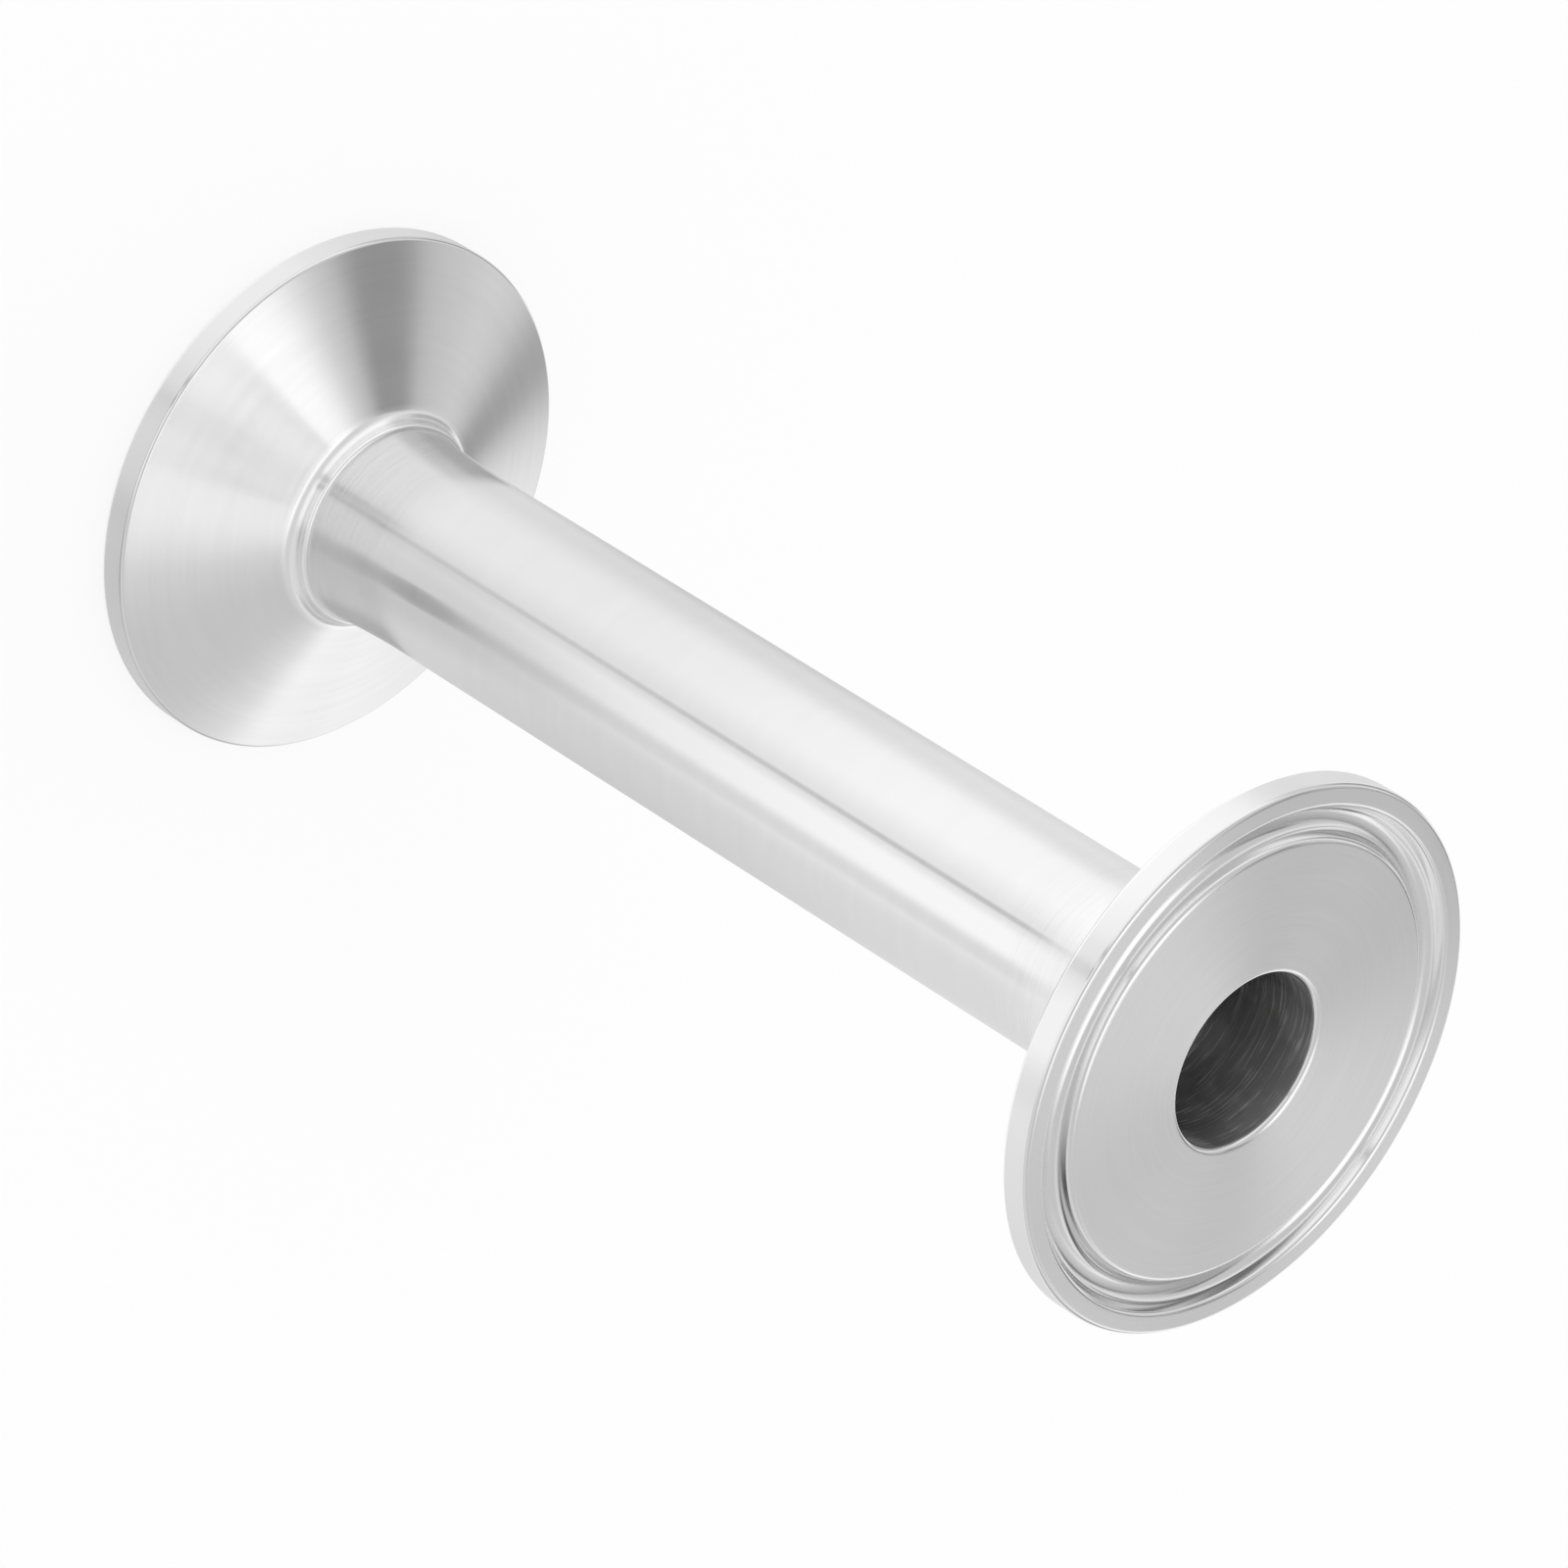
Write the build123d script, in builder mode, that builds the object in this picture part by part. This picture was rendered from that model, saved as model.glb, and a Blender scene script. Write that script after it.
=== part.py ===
"""Sanitary spool pipe: a thin drawn tube with a clamp ferrule welded to each end.

The spool stands on the sealing face of its lower ferrule. The origin is the centre of that face
and +Z runs up the pipe's axis. All sizes are in millimetres.
"""

import os
from math import radians, tan

from build123d import *

# Overall
overall_length = 120.0

# Tube
tube_diameter = 18.0
tube_wall = 1.0

# Clamp flange
flange_diameter = 50.5
rim_thickness = 2.75
clamp_angle = 20.0
rim_face_round = 0.45
rim_back_round = 0.4

# Gasket groove in the sealing face, inside a flat outer land; its middle runs on a 43.5 mm circle
outer_land_width = 2.0
groove_width = 3.0
groove_depth = 1.6
groove_flank_angle = 20.0
groove_floor_round = 1.1
groove_inner_round = 0.6
groove_outer_round = 0.45

# Mouth of the bore
bore_mouth_round = 0.6

# Hub collar at the foot of the cone, and the neck behind it
hub_stand_off = 1.0
hub_width = 1.5
cone_foot_round = 1.2
hub_lip_round = 0.4
neck_swell = 0.45

# Ferrule from its sealing face to the weld, which is ground flush on a straight land
ferrule_length = 21.5
weld_land = 3.5

# Worked out from the sizes above
tube_radius = tube_diameter / 2
bore_radius = tube_radius - tube_wall
flange_radius = flange_diameter / 2
hub_radius = tube_radius + hub_stand_off
neck_radius = tube_radius + neck_swell
cone_foot_depth = rim_thickness + (flange_radius - hub_radius) * tan(radians(clamp_angle))
hub_depth = cone_foot_depth + hub_width
neck_end_depth = ferrule_length - weld_land
groove_outer_radius = flange_radius - outer_land_width
groove_inner_radius = groove_outer_radius - groove_width
groove_flank_run = groove_depth * tan(radians(groove_flank_angle))

os.makedirs("parts", exist_ok=True)

# Ferrules: half-sections in planes whose x is the radius and whose y is the depth behind the face
section_planes = {
    "lower_ferrule": Plane.XZ,
    "upper_ferrule": Plane(origin=(0, 0, overall_length), x_dir=(1, 0, 0), z_dir=(0, 1, 0)),
}
for ferrule_name, section_plane in section_planes.items():
    with BuildPart() as ferrule:
        with BuildSketch(section_plane):
            with BuildLine():
                # Bore, face with its groove, rim, clamp cone and hub collar
                FilletPolyline(
                    (bore_radius, ferrule_length),
                    (bore_radius, 0),
                    (groove_inner_radius, 0),
                    (groove_inner_radius + groove_flank_run, groove_depth),
                    (groove_outer_radius - groove_flank_run, groove_depth),
                    (groove_outer_radius, 0),
                    (flange_radius, 0),
                    (flange_radius, rim_thickness),
                    (hub_radius, cone_foot_depth),
                    (hub_radius, hub_depth),
                    (neck_radius, hub_depth),
                    radius=(
                        bore_mouth_round,
                        groove_inner_round,
                        groove_floor_round,
                        groove_floor_round,
                        groove_outer_round,
                        rim_face_round,
                        rim_back_round,
                        cone_foot_round,
                        hub_lip_round,
                    ),
                )
                # Neck, faired from its swell at the hub down to the tube's own diameter
                TangentArc(
                    (tube_radius, neck_end_depth),
                    (neck_radius, hub_depth),
                    tangent=(0, -1),
                )
                # Straight land and the weld face, which takes the end of the tube
                Polyline(
                    (tube_radius, neck_end_depth),
                    (tube_radius, ferrule_length),
                    (bore_radius, ferrule_length),
                )
            make_face()
        revolve(axis=Axis.Z)
    ferrule.part.label = ferrule_name
    export_step(ferrule.part, f"parts/{ferrule_name}.step")

# Tube between the two weld faces, with the same bore as the ferrules
with BuildPart() as tube:
    with BuildSketch(Plane.XY.offset(ferrule_length)):
        Circle(tube_radius)
        Circle(bore_radius, mode=Mode.SUBTRACT)
    extrude(amount=overall_length - 2 * ferrule_length)
tube.part.label = "tube"
export_step(tube.part, "parts/tube.step")
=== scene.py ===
# Sanitary spool pipe, standing on its lower ferrule: finished pieces, steel, studio and camera
from math import cos, pi, radians, sin, tan

import bmesh
import bpy
from mathutils import Matrix, Quaternion, Vector


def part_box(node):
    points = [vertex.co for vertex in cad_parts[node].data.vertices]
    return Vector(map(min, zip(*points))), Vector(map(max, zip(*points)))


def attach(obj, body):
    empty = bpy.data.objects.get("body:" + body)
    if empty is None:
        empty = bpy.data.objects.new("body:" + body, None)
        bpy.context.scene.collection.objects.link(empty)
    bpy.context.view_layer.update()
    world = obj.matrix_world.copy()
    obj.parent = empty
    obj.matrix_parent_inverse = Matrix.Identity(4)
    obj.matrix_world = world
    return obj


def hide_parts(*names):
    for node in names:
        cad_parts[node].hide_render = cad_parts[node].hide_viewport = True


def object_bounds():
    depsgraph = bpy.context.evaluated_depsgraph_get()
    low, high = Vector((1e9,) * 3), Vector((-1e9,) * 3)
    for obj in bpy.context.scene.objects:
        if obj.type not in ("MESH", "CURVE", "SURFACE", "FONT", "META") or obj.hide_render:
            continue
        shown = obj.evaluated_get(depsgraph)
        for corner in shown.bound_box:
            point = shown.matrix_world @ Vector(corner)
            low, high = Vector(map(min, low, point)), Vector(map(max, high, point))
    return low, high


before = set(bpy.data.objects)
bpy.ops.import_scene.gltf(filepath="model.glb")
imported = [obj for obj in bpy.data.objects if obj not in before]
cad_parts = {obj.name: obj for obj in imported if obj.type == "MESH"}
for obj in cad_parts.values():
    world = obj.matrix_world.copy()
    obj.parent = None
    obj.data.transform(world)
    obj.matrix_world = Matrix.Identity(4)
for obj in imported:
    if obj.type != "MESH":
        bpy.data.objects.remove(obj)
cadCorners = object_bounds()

millimetre = 0.001
scene = bpy.context.scene
scene.view_settings.view_transform = "Standard"

# Camera: in front of the pipe and above it, rolled so that the pipe runs down to the right
camera = {
    "place": (0.00083, -0.56611, 0.50226),
    "aim": (0.00083, 0.0, 0.06369),
    "roll": 122.03,  # degrees
    "lens": 190.28,
    "sensor": 36.0,
    "nearest": 0.05,
    "farthest": 30.0,
}
lens = bpy.data.cameras.new("camera")
lens.lens = camera["lens"]
lens.sensor_width = camera["sensor"]
lens.clip_start = camera["nearest"]
lens.clip_end = camera["farthest"]
cameraObject = bpy.data.objects.new("camera", lens)
sightLine = Vector(camera["aim"]) - Vector(camera["place"])
roll = Quaternion((0.0, 0.0, 1.0), radians(camera["roll"]))
cameraObject.location = camera["place"]
cameraObject.rotation_mode = "QUATERNION"
cameraObject.rotation_quaternion = sightLine.to_track_quat("-Z", "Y") @ roll
scene.collection.objects.link(cameraObject)
scene.camera = cameraObject
print("camera placed")


class Flow:  # a socket in a node tree, so that shader sums are written as sums
    def __init__(self, tree, socket=None):
        self.tree = tree
        self.socket = socket

    def node(self, kind, settings=None, sockets=None, out=0):
        made = self.tree.nodes.new(kind)
        for name, value in (settings or {}).items():
            setattr(made, name, value)
        for name, value in (sockets or {}).items():
            if isinstance(value, Flow):
                self.tree.links.new(value.socket, made.inputs[name])
            else:
                made.inputs[name].default_value = value
        return Flow(self.tree, made.outputs[out] if made.outputs else None)

    def maths(self, operation, *values):
        return self.node("ShaderNodeMath", {"operation": operation}, dict(enumerate(values)))

    def __add__(self, other):
        return self.maths("ADD", self, other)

    __radd__ = __add__

    def __sub__(self, other):
        return self.maths("SUBTRACT", self, other)

    def __rsub__(self, other):
        return self.maths("SUBTRACT", other, self)

    def __mul__(self, other):
        return self.maths("MULTIPLY", self, other)

    __rmul__ = __mul__

    def __truediv__(self, other):
        return self.maths("DIVIDE", self, other)

    def __pow__(self, other):
        return self.maths("POWER", self, other)

    def __abs__(self):
        return self.maths("ABSOLUTE", self)

    def rise(self, start, end):  # 0 before start, 1 after end, smooth between
        return self.node(
            "ShaderNodeMapRange",
            {"interpolation_type": "SMOOTHSTEP"},
            {"Value": self, "From Min": start, "From Max": end, "To Min": 0.0, "To Max": 1.0},
        )

    def fall(self, start, end):
        return 1 - self.rise(start, end)

    def towards(self, other, share):  # this value, moved by a share of the way to the other
        return self + (other - self) * share

    def parts(self):  # the three numbers of a vector
        split = self.node("ShaderNodeSeparateXYZ", None, {0: self})
        return [Flow(self.tree, number) for number in split.socket.node.outputs]

    def vector(self, *values):
        return self.node("ShaderNodeCombineXYZ", None, dict(enumerate(values)))

    def noise(self, place, scale, detail):
        return self.node("ShaderNodeTexNoise", None, {"Vector": place, "Scale": scale, "Detail": detail})

    def grey(self):  # the same value in all three channels, as a colour
        return self.node("ShaderNodeCombineColor", None, {"Red": self, "Green": self, "Blue": self})


def emptyTree(owner):
    owner.use_nodes = True
    owner.node_tree.nodes.clear()
    return Flow(owner.node_tree)


# Studio: what the steel mirrors. Levels are of white; directions are in degrees, azimuth from +X
studio = {
    "plainLevel": 0.95,  # what lights matt surfaces
    "upperLevel": 0.633,
    "lowerLevel": 0.861,
    "horizon": (-14.0, -4.0),
    # azimuth, elevation, half width, half height, softness, level
    "cards": {
        "zenithBox": (0.0, 90.0, 360.0, 25.0, 6.5, 1.2),
        "tableEdge": (0.0, 4.2, 360.0, 20.7, 10.9, 1.0),
        "rightWindow": (73.6, 9.4, 7.0, 29.9, 4.6, 1.05),
        "lowFlag": (104.8, 27.5, 6.6, 18.0, 8.3, 0.05),
        "highFlag": (130.1, 48.6, 18.3, 8.0, 3.8, 0.25),
        "leftTable": (212.4, -36.9, 39.5, 39.4, 21.7, 1.07),
        "stripBox": (308.6, -52.0, 26.0, 23.9, 6.6, 1.11),
        "lensShade": (272.8, -38.0, 2.7, 41.0, 1.4, 0.53),
        "footFlag": (324.0, -39.2, 10.5, 16.9, 7.7, 0.77),
        "rightTable": (53.0, -59.6, 72.0, 15.3, 14.7, 0.21),
        "leftWall": (145.2, 4.3, 26.4, 13.5, 4.2, 0.4),
        "nadirTable": (0.0, -90.0, 360.0, 49.3, 3.4, 1.19),
        "backBox": (65.7, 76.6, 39.9, 15.7, 13.6, 0.92),
        "coreFlag": (121.1, 46.4, 6.9, 6.9, 3.3, 0.52),
        "sideFlag": (41.2, 4.4, 28.4, 13.1, 6.0, 0.46),
        "underTable": (231.4, -57.6, 44.9, 12.8, 3.2, 1.45),
        "brightWindow": (68.7, 17.8, 5.4, 6.9, 2.7, 1.1),
        "frontFlag": (264.5, 1.4, 2.1, 29.0, 5.2, 0.49),
        "rightWall": (349.8, 5.8, 37.2, 20.9, 11.3, 0.71),
        "leftPanel": (168.9, -7.9, 11.9, 22.9, 8.4, 0.7),
    },
}


def studioWorld(studio):
    world = bpy.data.worlds.new("studio")
    scene.world = world
    start = emptyTree(world)
    x, y, z = start.node("ShaderNodeTexCoord", out="Generated").parts()
    azimuth = start.maths("ARCTAN2", y, x) * (180 / pi)
    elevation = start.maths("ARCSINE", z) * (180 / pi)
    lowToHigh = elevation.rise(*studio["horizon"])
    level = lowToHigh * (studio["upperLevel"] - studio["lowerLevel"]) + studio["lowerLevel"]
    for across, up, halfWidth, halfHeight, soft, cardLevel in studio["cards"].values():
        aside = abs(start.maths("WRAP", azimuth - across, 180.0, -180.0))
        above = abs(elevation - up)
        insideWidth = aside.fall(halfWidth - soft, halfWidth + soft)
        insideHeight = above.fall(halfHeight - soft, halfHeight + soft)
        level = level.towards(cardLevel, insideWidth * insideHeight)
    cameraRay = start.node("ShaderNodeLightPath", out="Is Camera Ray")
    glossyRay = start.node("ShaderNodeLightPath", out="Is Glossy Ray")
    level = glossyRay * (level - studio["plainLevel"]) + studio["plainLevel"]
    level = level.towards(1, cameraRay)
    backdrop = start.node("ShaderNodeBackground", None, {"Color": level.grey(), "Strength": 1.0})
    start.node("ShaderNodeOutputWorld", None, {"Surface": backdrop})


studioWorld(studio)
print("studio world made")

# Lamps: a soft box overhead, and a fill from the front. Angles are in degrees, lengths in metres
lamps = {
    "overheadBox": {"azimuth": 118.0, "elevation": 76.0, "distance": 1.2, "size": 0.42, "watts": 0.7},
    "frontFill": {"azimuth": 235.0, "elevation": 62.0, "distance": 1.4, "size": 0.6, "watts": 0.6},
}


def hangLamp(name, lamp, middle):
    light = bpy.data.lights.new(name, "AREA")
    light.shape = "DISK"
    light.size = lamp["size"]
    light.energy = lamp["watts"]
    azimuth = radians(lamp["azimuth"])
    elevation = radians(lamp["elevation"])
    away = Vector((cos(elevation) * cos(azimuth), cos(elevation) * sin(azimuth), sin(elevation)))
    lampObject = bpy.data.objects.new(name, light)
    lampObject.location = middle + away * lamp["distance"]
    lampObject.rotation_mode = "QUATERNION"
    lampObject.rotation_quaternion = away.to_track_quat("Z", "Y")
    lampObject.visible_glossy = False  # the studio cards stand for the lamps in the steel
    scene.collection.objects.link(lampObject)


for lampName, lamp in lamps.items():
    hangLamp(lampName, lamp, (cadCorners[0] + cadCorners[1]) / 2)
print("lamps hung")

# Floor: pale and plain, and it keeps the pipe's soft shadow. Lengths are in millimetres
floorSheet = {
    "halfSide": 4000.0,
    "colour": (0.94, 0.94, 0.94, 1.0),
    "whiteShare": 0.8,
    # Painted shade that only the steel sees in the floor: darker near the foot and in two spots
    "paintedFootShade": (0.177, 42.2, 132.8),  # depth, full inside this radius, gone at this one
    # x, y, radius, softness, depth
    "spots": {
        "paintedShadeSpot": (25.2, -29.5, 23.0, 15.5, 0.22),
        "paintedShadeDot": (26.8, -24.7, 6.6, 0.7, 0.35),
    },
}


def floorMaterial(size):
    material = bpy.data.materials.new("paleFloor")
    start = emptyTree(material)
    matt = start.node("ShaderNodeBsdfDiffuse", None, {"Color": size["colour"]})
    white = start.node("ShaderNodeEmission", None, {"Strength": 1.0})
    seen = start.node("ShaderNodeLightPath", out="Is Camera Ray") * size["whiteShare"]
    sheet = start.node("ShaderNodeMixShader", None, {0: seen, 1: matt, 2: white})
    # The steel mirrors the studio through the floor, tinted by painted shade near the foot and in two spots
    metres = start.node("ShaderNodeTexCoord", out="Object")
    x, y = [part / millimetre for part in metres.parts()[:2]]
    depth, inner, outer = size["paintedFootShade"]
    clear = 1 - ((x * x + y * y) ** 0.5).fall(inner, outer) * depth
    for across, along, radius, soft, depth in size["spots"].values():
        away = ((x - across) * (x - across) + (y - along) * (y - along)) ** 0.5
        clear = clear * (1 - away.fall(radius - soft, radius + soft) * depth)
    through = start.node("ShaderNodeBsdfTransparent", None, {"Color": clear.grey()})
    glossyRay = start.node("ShaderNodeLightPath", out="Is Glossy Ray")
    mixed = start.node("ShaderNodeMixShader", None, {0: glossyRay, 1: sheet, 2: through})
    start.node("ShaderNodeOutputMaterial", None, {"Surface": mixed})
    return material


floorMesh = bmesh.new()
bmesh.ops.create_grid(floorMesh, x_segments=1, y_segments=1, size=floorSheet["halfSide"] * millimetre)
floorData = bpy.data.meshes.new("floor")
floorMesh.to_mesh(floorData)
floorMesh.free()
floorData.transform(Matrix.Translation((0.0, 0.0, cadCorners[0].z)))
floorData.materials.append(floorMaterial(floorSheet))
floor = bpy.data.objects.new("floor", floorData)
scene.collection.objects.link(floor)
print("floor laid")

# Steel, one finish for the whole pipe. Lengths are in millimetres, levels are of white, a depth
# is behind the nearer sealing face, and a tilt is 1 on a flat face and 0 on an upright wall
steel = {
    "pipeLength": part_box("upper_ferrule")[1].z / millimetre,
    # Levels
    "shade": 0.85,
    # painted sheen: the collar's base colour is raised to brighten its reflection
    "collarPaintedSheen": 0.96,
    # painted shade: the bore's base colour is darkened where shade falls inside it
    "paintedBoreShade": 0.36,
    # painted light: the bore is lighter near its mouth, where more light gets in
    "mouthPaintedLight": 0.1,
    "patchLift": 0.12,
    "scratchShade": 1.0,
    "scratchShare": 0.4,
    "patchScratchShare": 0.6,
    # Roughnesses
    "faceRoughness": 0.30,  # sealing faces and lands
    "coneRoughness": 0.17,
    "rimRoughness": 0.22,
    "roundRoughness": 0.09,  # rounds and grooves
    "collarRoughness": 0.20,
    "neckRoughness": 0.26,
    "tubeRoughness": 0.13,
    "boreRoughness": 0.38,
    "anisotropy": 0.9,
    "anisotropyTurn": 0.25,
    # How far the tool marks change shade, roughness and height
    "broadDrift": 0.02,
    "lineDrift": 0.07,
    "brushDrift": 0.13,
    "roughDrift": 0.04,
    "lineDepth": 0.001,
    "brushDepth": 0.002,
    # Where each finish starts and ends
    "boreEdge": (8.01, 8.07),
    "faceTilt": (0.965, 0.99),
    "coneTilt": (0.86, 0.93),
    "rimTilt": (0.05, 0.2),
    "rimEdge": (24.9, 25.1),
    "collarEdge": (10.7, 11.3),
    "collarStart": (4.0, 5.0),
    "tubeStart": (9.7, 9.9),
    "neckEnd": (12.0, 22.0),
    "brushEnd": (12.0, 28.0),  # the tube is brushed beside its welds
    # Turning marks: how fine along the outline, how broken round the axis, detail
    "fineLines": (3.2, 1.5, 4.0),
    "broadBands": (0.5, 1.2, 2.0),
    "depthTravel": 1.6,  # steps along the outline for each step of depth
    # Scratches in the bore: slant across x and y, how fine, how broken round the axis, detail
    "scratchSlant": (0.06, 0.09),
    "scratchNoise": (7.0, 0.22, 4.0),
    "scratchCut": (0.53, 0.66),
    "patchNoise": (0.22, 2.0),
    "patchCut": (0.42, 0.62),
    # depths over which the painted light at the bore's mouth fades
    "mouthDepth": (0.3, 5.0),
}


def steelMaterial(name, size):
    material = bpy.data.materials.new(name)
    start = emptyTree(material)
    metres = start.node("ShaderNodeTexCoord", out="Object")
    place = start.node("ShaderNodeVectorMath", {"operation": "SCALE"}, {0: metres, "Scale": 1 / millimetre})
    x, y, z = place.parts()
    normal = start.node("ShaderNodeTexCoord", out="Normal")
    tilt = abs(normal.parts()[2])
    radius = (x * x + y * y) ** 0.5
    depth = size["pipeLength"] / 2 - abs(z - size["pipeLength"] / 2)
    travel = radius + depth * size["depthTravel"]

    def ringNoise(fineness, breaks, detail):
        rings = start.vector(travel * fineness, x / radius * breaks, y / radius * breaks)
        return start.noise(rings, 1.0, detail) - 0.5

    fineLines = ringNoise(*size["fineLines"])
    broadBands = ringNoise(*size["broadBands"])
    inBore = radius.fall(*size["boreEdge"])
    onFace = tilt.rise(*size["faceTilt"])
    onCone = tilt.rise(*size["coneTilt"]) - onFace
    turned = onFace + onCone
    onRim = tilt.fall(*size["rimTilt"]) * radius.rise(*size["rimEdge"])
    onTube = depth.rise(*size["tubeStart"])
    onCollar = radius.fall(*size["collarEdge"]) * depth.rise(*size["collarStart"]) * (1 - onTube)
    onNeck = onTube * depth.fall(*size["neckEnd"])
    brushed = onTube * depth.fall(*size["brushEnd"])

    # Tool marks in the bore run round it at a slight slant
    slantX, slantY = size["scratchSlant"]
    slant = z + x * slantX + y * slantY
    fineness, breaks, detail = size["scratchNoise"]
    arcs = start.vector(slant * fineness, x * breaks, y * breaks)
    scratches = start.noise(arcs, 1.0, detail).rise(*size["scratchCut"])
    patches = start.noise(place, *size["patchNoise"]).rise(*size["patchCut"])
    # Painted light: lighter near the bore's mouth, fading with depth
    paintedMouthLight = depth.fall(*size["mouthDepth"]) * size["mouthPaintedLight"]
    # The bore's base colour is painted shade, with random patches and scratches on it
    paintedBoreShade = size["paintedBoreShade"] + paintedMouthLight + patches * size["patchLift"]
    scratchShare = scratches * (size["scratchShare"] + patches * size["patchScratchShare"])
    paintedBoreShade = paintedBoreShade.towards(size["scratchShade"], scratchShare)

    lines = fineLines * (turned * size["lineDrift"] + brushed * size["brushDrift"])
    shade = size["shade"] + lines + broadBands * size["broadDrift"]
    # The collar's lighter base colour is a painted sheen
    shade = shade.towards(size["collarPaintedSheen"], onCollar).towards(paintedBoreShade, inBore)

    rough = size["roundRoughness"] + onFace * (size["faceRoughness"] - size["roundRoughness"])
    rough = rough + onCone * (size["coneRoughness"] - size["roundRoughness"])
    rough = rough + onRim * (size["rimRoughness"] - size["roundRoughness"])
    rough = rough.towards(size["collarRoughness"], onCollar)
    rough = rough.towards(size["tubeRoughness"], onTube)
    rough = rough.towards(size["neckRoughness"], onNeck)
    rough = rough.towards(size["boreRoughness"], inBore)
    rough = rough + broadBands * size["roughDrift"]

    height = fineLines * (turned * size["lineDepth"] + brushed * size["brushDepth"])
    bump = start.node("ShaderNodeBump", None, {"Strength": 1.0, "Distance": millimetre, "Height": height})
    finish = {
        "Base Color": shade.grey(),
        "Metallic": 1.0,
        "Roughness": rough,
        "Anisotropic": size["anisotropy"],
        "Anisotropic Rotation": size["anisotropyTurn"],
        "Normal": bump,
    }
    metal = start.node("ShaderNodeBsdfPrincipled", None, finish)
    start.node("ShaderNodeOutputMaterial", None, {"Surface": metal})
    return material


turnedSteel = steelMaterial("turnedSteel", steel)
polishedTube = steelMaterial("polishedTube", steel)
print("steel finishes made")

# Pieces are modelled in millimetres from their half-sections, then brought to metres
spinning = {
    "roundSegments": 10,
    "steps": 320,
    "mergeDistance": 0.0005,
    "creaseAngle": 35.0,  # degrees; sharper edges stay sharp
}


def halfSection(corners):  # corners are radius, height and rounding
    section = bmesh.new()
    places = [Vector((radius, 0.0, height)) for radius, height, rounding in corners]
    points = [section.verts.new(place) for place in places]
    for one, two in zip(points, points[1:] + points[:1]):
        section.edges.new((one, two))
    for number, point in enumerate(points):
        rounding = corners[number][2]
        if rounding == 0:
            continue
        arriving = places[number] - places[number - 1]
        leaving = places[(number + 1) % len(places)] - places[number]
        bmesh.ops.bevel(
            section,
            geom=[point],
            offset=rounding * tan(arriving.angle(leaving) / 2),
            offset_type="OFFSET",
            segments=spinning["roundSegments"],
            profile=0.5,
            affect="VERTICES",
            material=-1,
        )
    bmesh.ops.remove_doubles(section, verts=section.verts, dist=spinning["mergeDistance"])
    return section


def spunPiece(name, node, section, material):
    bmesh.ops.spin(
        section,
        geom=section.verts[:] + section.edges[:],
        cent=(0.0, 0.0, 0.0),
        axis=(0.0, 0.0, 1.0),
        angle=2 * pi,
        steps=spinning["steps"],
        use_merge=True,
    )
    bmesh.ops.remove_doubles(section, verts=section.verts, dist=spinning["mergeDistance"])
    bmesh.ops.scale(section, vec=(millimetre,) * 3, verts=section.verts)
    bmesh.ops.recalc_face_normals(section, faces=section.faces)
    for face in section.faces:
        face.smooth = True
    for edge in section.edges:
        edge.smooth = edge.calc_face_angle() < radians(spinning["creaseAngle"])
    data = bpy.data.meshes.new(name)
    section.to_mesh(data)
    section.free()
    data.materials.append(material)
    piece = bpy.data.objects.new(name, data)
    scene.collection.objects.link(piece)
    weighted = piece.modifiers.new("flatFacesStayFlat", "WEIGHTED_NORMAL")
    weighted.weight = 100
    weighted.keep_sharp = True
    bpy.context.view_layer.objects.active = piece
    with bpy.context.temp_override(object=piece, active_object=piece):
        bpy.ops.object.modifier_apply(modifier=weighted.name)
    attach(piece, "root")
    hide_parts(node)
    print(name, "made,", len(data.polygons), "faces")


# Clamp ferrule, from its sealing face back to the weld
ferrule = {
    "boreRadius": 8.0,
    "boreMouthRound": 0.6,
    "tubeRadius": 9.0,
    "flangeRadius": 25.25,
    "rimThickness": 2.75,
    "rimFaceRound": 0.45,
    "rimBackRound": 0.4,
    "coneAngle": 20.0,
    "grooveInner": 20.25,
    "grooveOuter": 23.25,
    "grooveDepth": 1.6,
    "grooveFlank": 20.0,
    "grooveInnerRound": 0.6,
    "grooveFloorRound": 1.1,
    "grooveOuterRound": 0.45,
    "hubRadius": 10.0,
    "hubWidth": 1.5,
    "coneFootRound": 1.2,
    "hubLipRound": 0.4,
    "neckRadius": 9.45,
    "neckEnd": 18.0,
    "length": 21.5,
}


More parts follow.
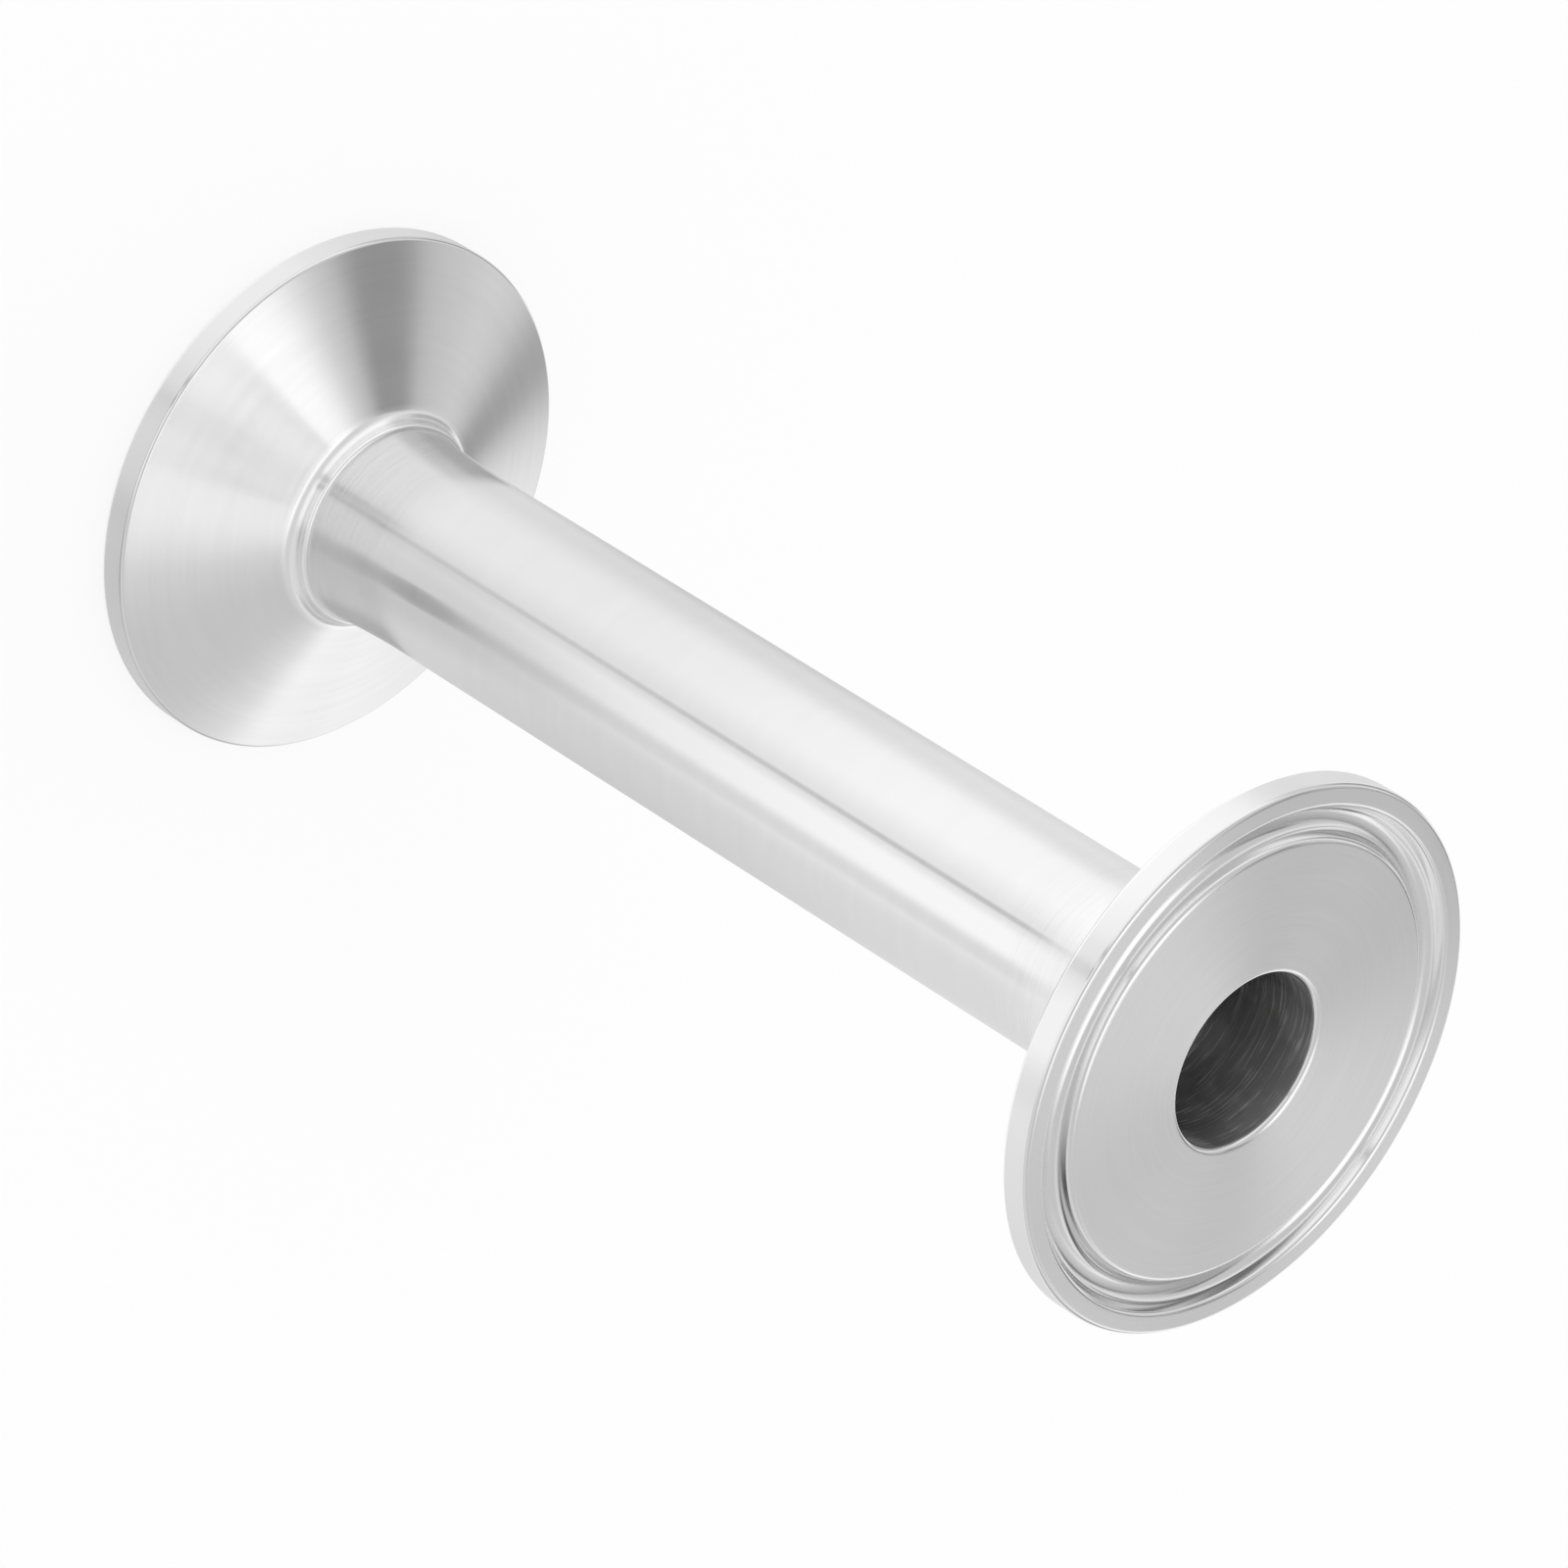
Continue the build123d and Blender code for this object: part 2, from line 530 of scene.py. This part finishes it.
def ferruleSection(size, faceHeight, back):  # back is 1 where the ferrule runs up from its face
    flankRun = size["grooveDepth"] * tan(radians(size["grooveFlank"]))
    coneRise = (size["flangeRadius"] - size["hubRadius"]) * tan(radians(size["coneAngle"]))
    coneFoot = size["rimThickness"] + coneRise
    hubBack = coneFoot + size["hubWidth"]
    neckRun = size["neckEnd"] - hubBack
    swell = size["neckRadius"] - size["tubeRadius"]
    fairing = (neckRun ** 2 + swell ** 2) / (2 * swell)  # radius of the neck's long curve
    fairingCorner = size["neckEnd"] - (neckRun ** 2 + swell ** 2) / (2 * neckRun)
    corners = [
        (size["boreRadius"], size["length"], 0),
        (size["boreRadius"], 0, size["boreMouthRound"]),
        (size["grooveInner"], 0, size["grooveInnerRound"]),
        (size["grooveInner"] + flankRun, size["grooveDepth"], size["grooveFloorRound"]),
        (size["grooveOuter"] - flankRun, size["grooveDepth"], size["grooveFloorRound"]),
        (size["grooveOuter"], 0, size["grooveOuterRound"]),
        (size["flangeRadius"], 0, size["rimFaceRound"]),
        (size["flangeRadius"], size["rimThickness"], size["rimBackRound"]),
        (size["hubRadius"], coneFoot, size["coneFootRound"]),
        (size["hubRadius"], hubBack, size["hubLipRound"]),
        (size["neckRadius"], hubBack, 0),
        (size["tubeRadius"], fairingCorner, fairing),
        (size["tubeRadius"], size["length"], 0),
    ]
    return halfSection([(radius, faceHeight + back * depth, rounding) for radius, depth, rounding in corners])


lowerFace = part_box("lower_ferrule")[0].z / millimetre
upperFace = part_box("upper_ferrule")[1].z / millimetre
lowerSection = ferruleSection(ferrule, lowerFace, 1)
spunPiece("lowerFerrule", "lower_ferrule", lowerSection, turnedSteel)
upperSection = ferruleSection(ferrule, upperFace, -1)
spunPiece("upperFerrule", "upper_ferrule", upperSection, turnedSteel)

# Tube between the two welds
tube = {"boreRadius": 8.0, "radius": 9.0}
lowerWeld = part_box("tube")[0].z / millimetre
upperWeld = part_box("tube")[1].z / millimetre
tubeCorners = [
    (tube["boreRadius"], lowerWeld, 0),
    (tube["boreRadius"], upperWeld, 0),
    (tube["radius"], upperWeld, 0),
    (tube["radius"], lowerWeld, 0),
]
spunPiece("drawnTube", "tube", halfSection(tubeCorners), polishedTube)
